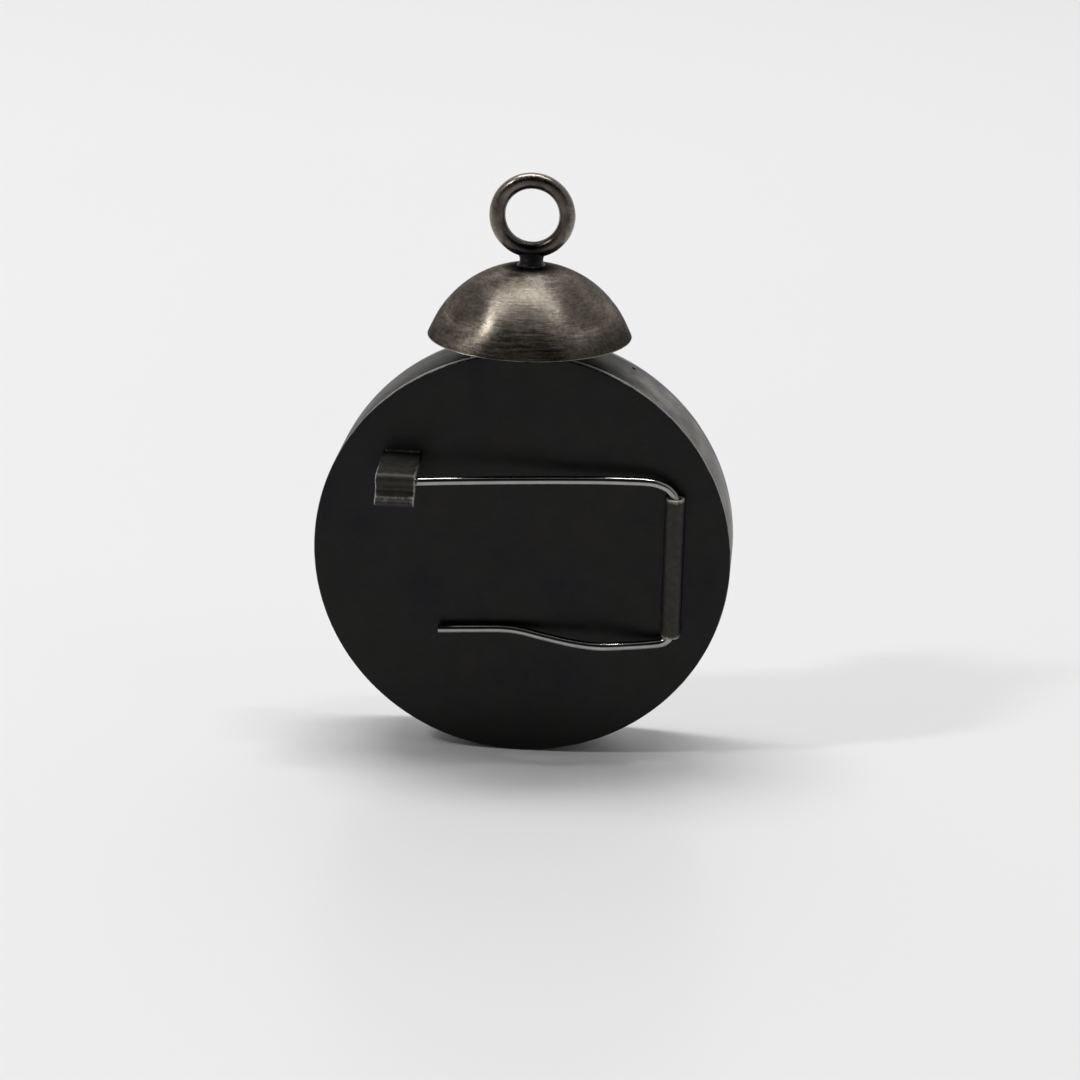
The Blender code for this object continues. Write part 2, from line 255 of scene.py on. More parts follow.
def bridge_rings(mesh, first, second):
    """Join two rings of vertices with faces; a ring of one vertex closes on the axis."""
    count = max(len(first), len(second))
    for index in range(count):
        following = (index + 1) % count
        corners = [first[index % len(first)]]
        if len(first) > 1:
            corners.append(first[following])
        if len(second) > 1:
            corners.append(second[following])
        corners.append(second[index % len(second)])
        mesh.faces.new(corners)


def turned(section, segments, closed, place=Matrix.Identity(4)):
    """Turn a section of (radius, height) points about the axis of a place. Closed makes a ring."""
    mesh = bmesh.new()
    rings = []
    for radius, height in section:
        count = 1 if radius < AXIS_TOLERANCE else segments
        angles = [math.tau * index / count for index in range(count)]
        ring = []
        for angle in angles:
            point = Vector((radius * math.cos(angle), radius * math.sin(angle), height))
            ring.append(mesh.verts.new(place @ point))
        rings.append(ring)
    for first, second in zip(rings, rings[1:]):
        bridge_rings(mesh, first, second)
    if closed:
        bridge_rings(mesh, rings[-1], rings[0])
    return mesh


def arc(centre, radius, start, end, steps):
    """Points on an arc, as (first, second) pairs, from one angle to another."""
    points = []
    for index in range(steps + 1):
        angle = start + (end - start) * index / steps
        points.append((centre[0] + radius * math.cos(angle), centre[1] + radius * math.sin(angle)))
    return points


def uneven(mesh, amount, scale, seed):
    """Move each vertex a little along its normal, so that a surface looks worked by hand."""
    mesh.normal_update()
    offset = Vector((seed, seed * 2.0, seed * 3.0))
    for vertex in mesh.verts:
        vertex.co += vertex.normal * (amount * noise.noise(vertex.co * scale + offset))


def pin_side_point(across, standoff, up):
    """A point given in mm as X, height over the back plate, and Z."""
    return Vector((across * MM, BACK_Y - standoff * MM, up * MM))


def smooth_route(route):
    """A smooth curve through the points of a route (a Catmull-Rom spline)."""
    points = [pin_side_point(*point) for point in route]
    padded = [points[0]] + points + [points[-1]]
    smooth = []
    for index in range(len(points) - 1):
        before, start, end, after = padded[index:index + 4]
        for step in range(ROUTE_STEPS):
            t = step / ROUTE_STEPS
            bend = (before * 2 - start * 5 + end * 4 - after) * t**2
            twist = (start * 3 - before - end * 3 + after) * t**3
            smooth.append((start * 2 + (end - before) * t + bend + twist) / 2)
    smooth.append(points[-1])
    return smooth


def wire_mesh(points, radii):
    """A round wire through the points, one radius for each, closed flat at both ends."""
    mesh = bmesh.new()
    along = [(after - before).normalized() for before, after in zip(points, points[1:])]
    along.append(along[-1])
    side = along[0].orthogonal().normalized()
    rings = []
    for index, (point, radius) in enumerate(zip(points, radii)):
        direction = along[index] if index == 0 else (along[index] + along[index - 1]).normalized()
        side = (side - direction * side.dot(direction)).normalized()
        other = direction.cross(side)
        ring = []
        for number in range(WIRE_SIDES):
            angle = math.tau * number / WIRE_SIDES
            outward = side * math.cos(angle) + other * math.sin(angle)
            ring.append(mesh.verts.new(point + outward * radius))
        rings.append(ring)
    for first, second in zip(rings, rings[1:]):
        bridge_rings(mesh, first, second)
    bridge_rings(mesh, [mesh.verts.new(points[0])], rings[0])
    bridge_rings(mesh, rings[-1], [mesh.verts.new(points[-1])])
    return mesh


def mark(piece, name, share_of):
    """Store a share from 0 to 1 at each vertex, for the finish to read by its name."""
    values = [min(max(share_of(vertex.co), 0.0), 1.0) for vertex in piece.data.vertices]
    attribute = piece.data.attributes.new(name, "FLOAT", "POINT")
    attribute.data.foreach_set("value", values)


# ------------------------------------------------------------ material helpers


def node_maths(tree, operation, first, second=0.0):
    """The result of one sum in a node tree, from sockets or numbers."""
    node = tree.nodes.new("ShaderNodeMath")
    node.operation = operation
    for socket, value in zip(node.inputs, (first, second)):
        if isinstance(value, (int, float)):
            socket.default_value = value
        else:
            tree.links.new(value, socket)
    return node.outputs["Value"]


def node_fade(tree, value, low, high, low_result=0.0, high_result=1.0):
    """One result where the value is under low, another where it is over high, and smooth between."""
    node = tree.nodes.new("ShaderNodeMapRange")
    node.interpolation_type = "SMOOTHSTEP"
    numbers = {"From Min": low, "From Max": high, "To Min": low_result, "To Max": high_result}
    for name, number in numbers.items():
        node.inputs[name].default_value = number
    tree.links.new(value, node.inputs["Value"])
    return node.outputs["Result"]


class Finish:
    """A metal finish: one Principled shader whose colour, roughness and bump come from patterns."""

    def __init__(self, name):
        self.material = bpy.data.materials.new(name)
        self.material.use_nodes = True
        self.tree = self.material.node_tree
        self.shader = self.tree.nodes["Principled BSDF"]
        self.shader.inputs["Metallic"].default_value = 1.0
        self.place = self.tree.nodes.new("ShaderNodeTexCoord").outputs["Object"]

    def link(self, source, target):
        """Feed one node's output into another node's input."""
        self.tree.links.new(source, target)

    def along(self, axis):
        """How far a place is along one of the row's axes."""
        node = self.tree.nodes.new("ShaderNodeSeparateXYZ")
        self.link(self.place, node.inputs["Vector"])
        return node.outputs[axis]

    def stretched(self, scale):
        """The row's coordinates, scaled by three numbers, for patterns that run one way."""
        mapping = self.tree.nodes.new("ShaderNodeMapping")
        mapping.inputs["Scale"].default_value = scale
        self.link(self.place, mapping.inputs["Vector"])
        return mapping.outputs["Vector"]

    def distance(self, centre, keep=(1.0, 1.0, 1.0)):
        """How far a place is from a centre, along the axes that keep holds."""
        offset = self.place
        for operation, value in (("SUBTRACT", centre), ("MULTIPLY", keep)):
            node = self.tree.nodes.new("ShaderNodeVectorMath")
            node.operation = operation
            node.inputs[1].default_value = value
            self.link(offset, node.inputs[0])
            offset = node.outputs["Vector"]
        length = self.tree.nodes.new("ShaderNodeVectorMath")
        length.operation = "LENGTH"
        self.link(offset, length.inputs[0])
        return length.outputs["Value"]

    def fade(self, value, low, high):
        """0 where the value is under low, 1 where it is over high, and smooth between."""
        return node_fade(self.tree, value, low, high)

    def ragged(self, value, pattern, amount):
        """The value moved up and down by a pattern, so that its fades have uneven borders."""
        swing = node_maths(self.tree, "SUBTRACT", pattern, 0.5)
        shift = node_maths(self.tree, "MULTIPLY", swing, amount)
        return node_maths(self.tree, "ADD", value, shift)

    def grain(self, place, scale, detail=4.0, roughness=0.55):
        """A noise pattern from 0 to 1; the scale is in spots per metre."""
        node = self.tree.nodes.new("ShaderNodeTexNoise")
        node.inputs["Scale"].default_value = scale
        node.inputs["Detail"].default_value = detail
        node.inputs["Roughness"].default_value = roughness
        self.link(place, node.inputs["Vector"])
        return node.outputs["Fac"]

    def ramp(self, value, stops):
        """Turn a value into a colour, or into a grey number, by (position, colour) stops."""
        node = self.tree.nodes.new("ShaderNodeValToRGB")
        line = node.color_ramp
        while len(line.elements) < len(stops):
            line.elements.new(0.5)
        for element, (position, colour) in zip(line.elements, stops):
            element.position = position
            element.color = (*colour, 1.0) if isinstance(colour, tuple) else (colour, colour, colour, 1.0)
        self.link(value, node.inputs["Fac"])
        return node.outputs["Color"]

    def mix(self, share, first, second, kind="MIX"):
        """The first colour where the share is 0 and the second, or their product, where it is 1."""
        node = self.tree.nodes.new("ShaderNodeMix")
        node.data_type = "RGBA"
        node.blend_type = kind
        sockets = (node.inputs[0], node.inputs[6], node.inputs[7])
        for socket, value in zip(sockets, (share, first, second)):
            if isinstance(value, tuple):
                socket.default_value = (*value, 1.0)
            elif isinstance(value, (int, float)):
                socket.default_value = value
            else:
                self.link(value, socket)
        return node.outputs[2]

    def stored(self, name):
        """The share that mark() stored on the piece under this name."""
        node = self.tree.nodes.new("ShaderNodeAttribute")
        node.attribute_name = name
        return node.outputs["Fac"]

    def bump(self, height, distance, under=None):
        """A bump of a pattern, as high as distance, laid over another bump if one is given."""
        node = self.tree.nodes.new("ShaderNodeBump")
        node.inputs["Distance"].default_value = distance
        self.link(height, node.inputs["Height"])
        if under is not None:
            self.link(under, node.inputs["Normal"])
        return node.outputs["Normal"]

    def finish(self, colour, roughness, normal):
        """Give the shader its colour, roughness and bump, and hand over the material."""
        self.link(colour, self.shader.inputs["Base Color"])
        self.link(roughness, self.shader.inputs["Roughness"])
        self.link(normal, self.shader.inputs["Normal"])
        return self.material


# ----------------------------------------------------------------- the finishes

# How much of the room a patinated surface mirrors where it turns edge-on to the eye.
DOME_EDGE_TINT = (0.42, 0.42, 0.42, 1.0)
BAND_EDGE_TINT = (0.66, 0.66, 0.65, 1.0)

# What a darkening multiplies the metal by where there is none: painted shade on the band and low on the
# dome, and the darkening round the dome's neck.
NO_DARKENING = (1.0, 1.0, 1.0)


def dark_plate_finish():
    """Near-black oxidised silver: satin, faint oil colours, fine scuffs, and a rubbed bright edge."""
    made = Finish("dark_plate")
    clouds = made.grain(made.place, 160.0, detail=3.0)
    tints = made.ramp(clouds, [
        (0.30, (0.0172, 0.0174, 0.0196)),
        (0.44, (0.0200, 0.0195, 0.0196)),
        (0.56, (0.0192, 0.0196, 0.0184)),
        (0.70, (0.0226, 0.0208, 0.0198)),
    ])
    scuffs = made.grain(made.stretched((900.0, 900.0, 9000.0)), 1.0, detail=5.0)
    lighter = made.ramp(scuffs, [(0.52, 0.0), (0.78, 0.35)])
    faced = made.mix(lighter, tints, (0.034, 0.033, 0.033))
    from_axis = made.distance((0.0, 0.0, 0.0), keep=(1.0, 0.0, 1.0))
    rub_and_highlight = made.ragged(from_axis, made.grain(made.place, 900.0), 0.30 * MM)
    edge = made.fade(rub_and_highlight, CASE_RADIUS - 0.12 * MM, CASE_RADIUS + 0.06 * MM)
    colour = made.mix(edge, faced, (0.16, 0.155, 0.15))
    satin = made.ramp(made.grain(made.place, 420.0, detail=5.0), [(0.30, 0.31), (0.70, 0.42)])
    waves = made.bump(made.grain(made.place, 260.0, detail=2.0), 0.03 * MM)
    hairs = made.bump(scuffs, 0.004 * MM, under=waves)
    return made.finish(colour, satin, hairs)


def band_finish():
    """Grey silver rubbed back along the band, with painted shade round the dome's foot and to the left."""
    made = Finish("brushed_band")
    hairs = made.grain(made.stretched((260.0, 8000.0, 260.0)), 1.0, detail=6.0, roughness=0.6)
    patches = made.grain(made.place, 380.0, detail=5.0)
    metal = made.ramp(patches, [
        (0.32, (0.145, 0.138, 0.128)),
        (0.50, (0.250, 0.240, 0.222)),
        (0.68, (0.350, 0.338, 0.312)),
    ])
    brushed = made.mix(0.55, metal, made.ramp(hairs, [(0.30, 0.30), (0.70, 1.0)]), kind="MULTIPLY")
    # Painted shade: darker near the dome's foot for the dome's shadow and dark reflection, and darker on
    # the left, where the light is weaker.
    from_dome = made.distance((0.0, 0.0, CASE_RADIUS), keep=(1.0, 0.0, 1.0))
    out_of_dome_shadow = made.fade(made.ragged(from_dome, patches, 2.5 * MM), 9.0 * MM, 14.0 * MM)
    dome_shadow = made.mix(out_of_dome_shadow, (0.14, 0.14, 0.14), NO_DARKENING)
    rightward = made.fade(made.ragged(made.along("X"), patches, 6.0 * MM), -16.0 * MM, 4.0 * MM)
    left_shade = made.mix(rightward, (0.26, 0.25, 0.24), NO_DARKENING)
    darkening = made.mix(1.0, dome_shadow, left_shade, kind="MULTIPLY")
    colour = made.mix(1.0, brushed, darkening, kind="MULTIPLY")
    satin = made.ramp(hairs, [(0.30, 0.30), (0.70, 0.48)])
    normal = made.bump(hairs, 0.012 * MM)
    made.shader.inputs["Specular Tint"].default_value = BAND_EDGE_TINT
    return made.finish(colour, satin, normal)


def dome_finish():
    """Warm grey-brown silver with level brush lines, darker round the neck, and with painted shade low
    down above its bright lip.
    """
    made = Finish("dome_metal")
    hairs = made.grain(made.stretched((520.0, 520.0, 6500.0)), 1.0, detail=6.0, roughness=0.65)
    patches = made.grain(made.place, 230.0, detail=5.0)
    metal = made.ramp(patches, [
        (0.32, (0.125, 0.108, 0.088)),
        (0.50, (0.222, 0.194, 0.160)),
        (0.66, (0.320, 0.284, 0.240)),
    ])
    lined = made.mix(0.6, metal, made.ramp(hairs, [(0.30, 0.30), (0.70, 1.0)]), kind="MULTIPLY")
    specks = made.grain(made.place, 3000.0, detail=3.0)
    brushed = made.mix(1.0, lined, made.ramp(specks, [(0.34, 0.62), (0.60, 1.08)]), kind="MULTIPLY")
    low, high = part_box("dome")
    from_neck = made.distance((0.0, CASE_MIDDLE_Y, high.z))
    below_neck = made.fade(made.ragged(from_neck, patches, 2.6 * MM), 1.8 * MM, 4.6 * MM)
    neck_darkening = made.mix(below_neck, (0.10, 0.10, 0.11), NO_DARKENING)
    # Painted shade: darker low on the dome, above its lip, for the dark reflection there.
    height = made.along("Z")
    uneven_height = made.ragged(height, patches, 1.5 * MM)
    above_rim = made.fade(uneven_height, low.z - 0.5 * MM, low.z + 3.2 * MM)
    lower_dome_shade = made.mix(above_rim, (0.50, 0.50, 0.50), NO_DARKENING)
    darkening = made.mix(1.0, neck_darkening, lower_dome_shade, kind="MULTIPLY")
    darkened = made.mix(1.0, brushed, darkening, kind="MULTIPLY")
    off_lip = made.fade(height, low.z + 0.12 * MM, low.z + 0.22 * MM)
    colour = made.mix(off_lip, (0.42, 0.40, 0.37), darkened)
    satin = made.ramp(hairs, [(0.30, 0.20), (0.70, 0.36)])
    dents = made.bump(made.grain(made.place, 330.0, detail=2.0), 0.03 * MM)
    normal = made.bump(hairs, 0.020 * MM, under=dents)
    made.shader.inputs["Specular Tint"].default_value = DOME_EDGE_TINT
    # The lines run level across the dome, so its highlights spread up and down.
    made.shader.inputs["Anisotropic"].default_value = 0.92
    tangent = made.tree.nodes.new("ShaderNodeTangent")
    tangent.direction_type = "RADIAL"
    tangent.axis = "X"
    made.link(tangent.outputs["Tangent"], made.shader.inputs["Tangent"])
    return made.finish(colour, satin, normal)


def ring_finish():
    """Brown-grey silver, burnished smooth, with a painted highlight and reflection round the outside,
    black at its soldered foot.
    """
    made = Finish("ring_metal")
    clouds = made.grain(made.place, 450.0, detail=5.0)
    metal = made.ramp(clouds, [
        (0.32, (0.052, 0.043, 0.038)),
        (0.52, (0.090, 0.078, 0.066)),
        (0.72, (0.165, 0.148, 0.125)),
    ])
    low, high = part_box("bail_ring")
    from_foot = made.distance((0.0, CASE_MIDDLE_Y, low.z))
    off_solder = made.fade(made.ragged(from_foot, clouds, 1.6 * MM), 1.0 * MM, 3.0 * MM)
    fine = made.grain(made.place, 2600.0, detail=4.0)
    # Painted highlight and reflection: the outside of the ring is painted lighter all round.
    from_middle = made.distance((0.0, CASE_MIDDLE_Y, (low.z + high.z) / 2), keep=(1.0, 0.0, 1.0))
    outward = made.fade(made.ragged(from_middle, fine, 0.9 * MM), high.x - 0.75 * MM, high.x)
    rub_and_highlight = made.mix(outward, metal, (0.25, 0.225, 0.195))
    colour = made.mix(off_solder, (0.014, 0.014, 0.015), rub_and_highlight)
    satin = made.ramp(fine, [(0.30, 0.20), (0.70, 0.32)])
    dents = made.bump(made.grain(made.place, 700.0, detail=3.0), 0.03 * MM)
    normal = made.bump(fine, 0.010 * MM, under=dents)
    return made.finish(colour, satin, normal)


def solder_finish():
    """Blackened solder: dull, a little grainy, with a few brighter crumbs."""
    made = Finish("black_solder")
    made.shader.inputs["Metallic"].default_value = 0.7
    crumbs = made.grain(made.place, 2400.0, detail=4.0)
    metal = made.ramp(crumbs, [
        (0.35, (0.008, 0.008, 0.008)),
        (0.62, (0.015, 0.014, 0.014)),
        (0.74, (0.060, 0.057, 0.052)),
    ])
    satin = made.ramp(crumbs, [(0.30, 0.52), (0.75, 0.36)])
    normal = made.bump(crumbs, 0.03 * MM)
    return made.finish(metal, satin, normal)


def finding_finish():
    """Dull dark oxidised silver with a mottled bloom, painted shade where marked, and bright metal at
    marked edges, partly worn and partly a painted highlight.
    """
    made = Finish("finding_metal")
    made.shader.inputs["Metallic"].default_value = 0.75
    mottle = made.grain(made.place, 1500.0, detail=5.0)
    metal = made.ramp(mottle, [
        (0.30, (0.028, 0.027, 0.0225)),
        (0.52, (0.037, 0.0355, 0.030)),
        (0.72, (0.054, 0.052, 0.044)),
    ])
    # Painted shade: pieces marked with it are darkened, the catch towards the plate.
    shaded = made.mix(made.stored("painted_shade"), metal, (0.010, 0.010, 0.010))
    # Bright marks: worn edges, and a painted highlight on the catch's crest and side edges.
    wear_and_highlight = made.ragged(made.stored("wear_and_highlight"), made.grain(made.place, 2600.0, detail=4.0), 0.9)
    colour = made.mix(made.fade(wear_and_highlight, 0.30, 0.95), shaded, (0.42, 0.41, 0.38))
    satin = made.ramp(mottle, [(0.30, 0.46), (0.70, 0.56)])
    normal = made.bump(made.grain(made.place, 3200.0, detail=4.0), 0.008 * MM)
    return made.finish(colour, satin, normal)


def pin_finish():
    """Polished hard steel wire with faint drawing lines."""
    made = Finish("pin_wire")
    clouds = made.grain(made.place, 600.0, detail=3.0)
    metal = made.ramp(clouds, [(0.3, (0.31, 0.305, 0.295)), (0.7, (0.38, 0.372, 0.36))])
    drawn = made.grain(made.stretched((300.0, 12000.0, 12000.0)), 1.0, detail=3.0)
    satin = made.ramp(drawn, [(0.3, 0.06), (0.7, 0.12)])
    normal = made.bump(drawn, 0.0012 * MM)
    return made.finish(metal, satin, normal)


# ------------------------------------------------------------------- the pieces


def plate_section(low, high):
    """Half-section of a round plate whose edges are softly rounded."""
    rim = CASE_RADIUS - PLATE_EDGE
    section = [(0.0, low)]
    section += [(rim * share, low) for share in PLATE_RINGS]
    section += arc((rim, low + PLATE_EDGE), PLATE_EDGE, -math.pi / 2, 0.0, ROUND_STEPS)
    section += arc((rim, high - PLATE_EDGE), PLATE_EDGE, 0.0, math.pi / 2, ROUND_STEPS)
    section += [(rim * share, high) for share in reversed(PLATE_RINGS)]
    section.append((0.0, high))
    return section


def add_plates(material):
    """The two round plates that close the case."""
    for node in ("front_plate", "back_plate"):
        low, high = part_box(node)
        mesh = turned(plate_section(-high.y, -low.y), CASE_SEGMENTS, False, FACE_THE_FRONT)
        piece = add_piece(node + "_skin", mesh, material, "case")
        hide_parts(node)


def vent_cutter():
    """A thin rod that crosses the band's wall where the vent hole goes."""
    outward = Vector((math.cos(VENT_ANGLE), 0.0, math.sin(VENT_ANGLE)))
    middle = outward * (CASE_RADIUS - BAND_WALL / 2) + Vector((0.0, -VENT_FROM_FRONT, 0.0))
    place = Matrix.Translation(middle) @ outward.to_track_quat("Z", "Y").to_matrix().to_4x4()
    section = [(0.0, -BAND_WALL), (VENT_RADIUS, -BAND_WALL), (VENT_RADIUS, BAND_WALL), (0.0, BAND_WALL)]
    data = bpy.data.meshes.new("vent_cutter")
    mesh = turned(section, SMALL_SEGMENTS, False, place)
    bmesh.ops.recalc_face_normals(mesh, faces=mesh.faces)
    mesh.to_mesh(data)
    mesh.free()
    cutter = bpy.data.objects.new("vent_cutter", data)
    bpy.context.scene.collection.objects.link(cutter)
    return cutter


def add_band(material):
    """The band between the plates, with its vent hole. It reaches the plates on both sides."""
    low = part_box("front_plate")[0].y
    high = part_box("back_plate")[1].y
    inner = CASE_RADIUS - BAND_WALL
    edge = CASE_RADIUS - BAND_EDGE
    section = arc((edge, -low + BAND_EDGE), BAND_EDGE, -math.pi / 2, 0.0, EDGE_STEPS)
    section += arc((edge, -high - BAND_EDGE), BAND_EDGE, 0.0, math.pi / 2, EDGE_STEPS)
    section += [(inner, -high), (inner, -low)]
    mesh = turned(section, CASE_SEGMENTS, True, FACE_THE_FRONT)
    band = add_piece("band_skin", mesh, material, None)
    cutter = vent_cutter()
    vent = band.modifiers.new("vent", "BOOLEAN")
    vent.operation = "DIFFERENCE"
    vent.solver = "EXACT"
    vent.object = cutter
    shape = bpy.context.evaluated_depsgraph_get()
    shape.update()
    band.data = bpy.data.meshes.new_from_object(band.evaluated_get(shape))
    band.modifiers.clear()
    band.data.set_sharp_from_angle(angle=SMOOTH_ANGLE)
    bpy.data.objects.remove(cutter, do_unlink=True)
    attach(band, "case")
    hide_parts("case_band")


def dome_outline(radius, centre_z, rim_z):
    """One side of the dome's shell: from the apex down the sphere, then straight to the rim."""
    points = []
    for index in range(DOME_STEPS + 1):
        angle = DOME_CAP_ANGLE * index / DOME_STEPS
        points.append((radius * math.sin(angle), centre_z + radius * math.cos(angle)))
    last_radius, last_z = points[-1]
    rim_radius = last_radius + (last_z - rim_z) / math.tan(DOME_CAP_ANGLE)
    points.append(((last_radius + rim_radius) / 2, (last_z + rim_z) / 2))
    points.append((rim_radius, rim_z))
    return points


def add_dome(material):
    """The brushed dome, a shell whose rim is softly rounded and a touch higher outside than inside."""
    low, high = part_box("dome")
    centre_z = high.z - DOME_RADIUS
    outer = dome_outline(DOME_RADIUS, centre_z, low.z + DOME_RIM_OUTSIDE)
    inner = dome_outline(DOME_RADIUS - DOME_WALL, centre_z, low.z + DOME_RIM_INSIDE)
    out_point = Vector(outer[-1])
    in_point = Vector(inner[-1])
    rounded = []
    for index in range(1, ROUND_STEPS):
        share = index / ROUND_STEPS
        point = out_point.lerp(in_point, share)
        rounded.append((point.x, point.y - math.sin(share * math.pi) * DOME_RIM_INSIDE))
    section = outer + rounded + inner[::-1]
    mesh = turned(section, DOME_SEGMENTS, False, Matrix.Translation((0.0, CASE_MIDDLE_Y, 0.0)))
    piece = add_piece("dome_shell", mesh, material, "case")
    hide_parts("dome")


def add_post(material):
    """The post under the dome, with a flared foot that sits on the band."""
    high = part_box("dome_post")[1]
    foot_radius = high.x
    foot_z = CASE_RADIUS - POST_SINK
    flare_from_z = foot_z + POST_FOOT_HEIGHT * 0.6
    flare_height = POST_FOOT_HEIGHT * 1.2
    section = [(0.0, foot_z), (foot_radius, foot_z), (foot_radius, flare_from_z)]
    for index in range(1, ROUND_STEPS + 1):
        angle = math.pi / 2 * index / ROUND_STEPS
        radius = POST_RADIUS + (foot_radius - POST_RADIUS) * (1 - math.sin(angle))
        section.append((radius, flare_from_z + flare_height * (1 - math.cos(angle))))
    section += [(POST_RADIUS, high.z), (0.0, high.z)]
    mesh = turned(section, SMALL_SEGMENTS, False, Matrix.Translation((0.0, CASE_MIDDLE_Y, 0.0)))
    piece = add_piece("post_skin", mesh, material, "case")
    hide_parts("dome_post")


def add_ring(material):
    """The bail ring: bent from round wire, a little uneven."""
    low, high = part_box("bail_ring")
    centre = (low + high) / 2
    major = (high.x - low.x) / 2 - RING_WIRE_RADIUS
    section = arc((major, 0.0), RING_WIRE_RADIUS, 0.0, math.tau, RING_WIRE_SEGMENTS)[:-1]
    place = Matrix.Translation(centre) @ FACE_THE_FRONT
    mesh = turned(section, RING_SEGMENTS, True, place)
    uneven(mesh, RING_UNEVENNESS, scale=700.0, seed=3.0)
    piece = add_piece("ring_wire", mesh, material, "case")
    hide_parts("bail_ring")


def add_neck(material):
    """The soldered neck: it flows out onto the dome below and up around the ring."""
    ring_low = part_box("bail_ring")[0].z
    apex_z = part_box("dome")[1].z
    dome_z = apex_z - DOME_RADIUS + math.sqrt(DOME_RADIUS**2 - NECK_SPREAD_RADIUS**2)
    foot_z = dome_z - NECK_SINK
    waist_z = (apex_z + ring_low) / 2 + NECK_WAIST_LIFT
    top_z = ring_low + NECK_CLIMB
    spread = NECK_SPREAD_RADIUS - NECK_WAIST_RADIUS
    angles = [math.pi / 2 * index / NECK_STEPS for index in range(1, NECK_STEPS + 1)]
    section = [(0.0, foot_z), (NECK_SPREAD_RADIUS, foot_z)]
    for angle in angles:
        radius = NECK_WAIST_RADIUS + spread * (1 - math.sin(angle)) ** NECK_HOLLOW
        section.append((radius, foot_z + (waist_z - foot_z) * (1 - math.cos(angle))))
    for angle in angles:
        radius = NECK_WAIST_RADIUS + NECK_FLARE * (1 - math.cos(angle))
        section.append((radius, waist_z + (top_z - waist_z) * math.sin(angle)))
    section.append((0.0, top_z))
    mesh = turned(section, SMALL_SEGMENTS, False, Matrix.Translation((0.0, CASE_MIDDLE_Y, 0.0)))
    for vertex in mesh.verts:
        rise = max((vertex.co.z - waist_z) / (top_z - waist_z), 0.0)
        thin = 1.0 - NECK_THINNING * rise
        vertex.co.y = CASE_MIDDLE_Y + (vertex.co.y - CASE_MIDDLE_Y) * thin
    uneven(mesh, NECK_UNEVENNESS, scale=900.0, seed=5.0)
    piece = add_piece("neck_solder", mesh, material, "case")
    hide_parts("ring_neck")


def add_tube(material):
    """The hinge tube, with rounded lips round its bore."""
    low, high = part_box("hinge_tube")
    centre = (low + high) / 2
    radius = (high.x - low.x) / 2
    half = (high.z - low.z) / 2
    inside = TUBE_BORE_RADIUS + TUBE_LIP
    outside = radius - TUBE_LIP
    top = half - TUBE_LIP
    section = arc((inside, -top), TUBE_LIP, math.pi, math.pi * 1.5, ROUND_STEPS)
    section += arc((outside, -top), TUBE_LIP, -math.pi / 2, 0.0, ROUND_STEPS)
    section += [(radius, -top + top * 2 * step / TUBE_STEPS) for step in range(1, TUBE_STEPS)]
    section += arc((outside, top), TUBE_LIP, 0.0, math.pi / 2, ROUND_STEPS)
    section += arc((inside, top), TUBE_LIP, math.pi / 2, math.pi, ROUND_STEPS)
    mesh = turned(section, SMALL_SEGMENTS, True, Matrix.Translation(centre))
    piece = add_piece("tube_skin", mesh, material, "case")
    mark(piece, "wear_and_highlight", lambda point: 1.0 - (half - abs(point.z - centre.z)) / TUBE_WEAR)
    mark(piece, "painted_shade", lambda point: 0.0)
    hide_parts("hinge_tube")


def solder_outline(centre_x, radius, spread):
    """The solder's section across the tube, as X and Y: a hollow fillet on the right, then on the left."""
    outline = []
    for side in (1, -1):
        start = Vector((centre_x + side * radius * SOLDER_GRIP, BACK_Y - SOLDER_CLIMB))
        middle = Vector((centre_x + side * radius, BACK_Y - SOLDER_SAG))
        end = Vector((centre_x + side * (radius + spread), BACK_Y + SOLDER_SINK))
        curve = []
        for step in range(FILLET_STEPS + 1):
            t = step / FILLET_STEPS
            curve.append(start * (1 - t) ** 2 + middle * (2 * t * (1 - t)) + end * t**2)
        outline += curve if side == 1 else curve[::-1]
    return outline


def add_tube_solder(material):
    """The solder that joins the tube to the plate, uneven along the tube and thin at both ends."""
    low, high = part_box("hinge_tube")
    centre_x = (low.x + high.x) / 2
    radius = (high.x - low.x) / 2
    first_z = low.z + SOLDER_INSET
    length = high.z - low.z - SOLDER_INSET * 2
    mesh = bmesh.new()
    rings = []
    for index in range(TUBE_SOLDER_STEPS + 1):
        z = first_z + length * index / TUBE_SOLDER_STEPS
        ripple = 1.0 + SOLDER_RIPPLE * noise.noise(Vector((z * 900.0, 2.0, 5.0)))
        from_end = min(index, TUBE_SOLDER_STEPS - index) / SOLDER_END_STEPS
        fullness = min(1.0, SOLDER_THIN_END + (1.0 - SOLDER_THIN_END) * from_end)
        outline = solder_outline(centre_x, radius, SOLDER_REACH * ripple * fullness)
        rings.append([mesh.verts.new((point.x, point.y, z)) for point in outline])
    for first, second in zip(rings, rings[1:]):
        bridge_rings(mesh, first, second)
    mesh.faces.new(rings[0])
    mesh.faces.new(rings[-1])
    piece = add_piece("tube_solder", mesh, material, "case")


def rounded_corner(before, corner, after, radius, steps):
    """Points that round a corner of a line with a bend of the given radius."""
    corner = Vector(corner)
    arriving = (Vector(before) - corner).normalized()
    leaving = (Vector(after) - corner).normalized()
    half_angle = arriving.angle(leaving) / 2
    centre = corner + (arriving + leaving).normalized() * (radius / math.sin(half_angle))
    reach = radius / math.tan(half_angle)
    first = corner + arriving * reach - centre
    last = corner + leaving * reach - centre
    turn = first.angle_signed(last)
    points = []
    for index in range(steps + 1):
        step = first.copy()
        step.rotate(Matrix.Rotation(-turn * index / steps, 2))
        points.append(centre + step)
    return points


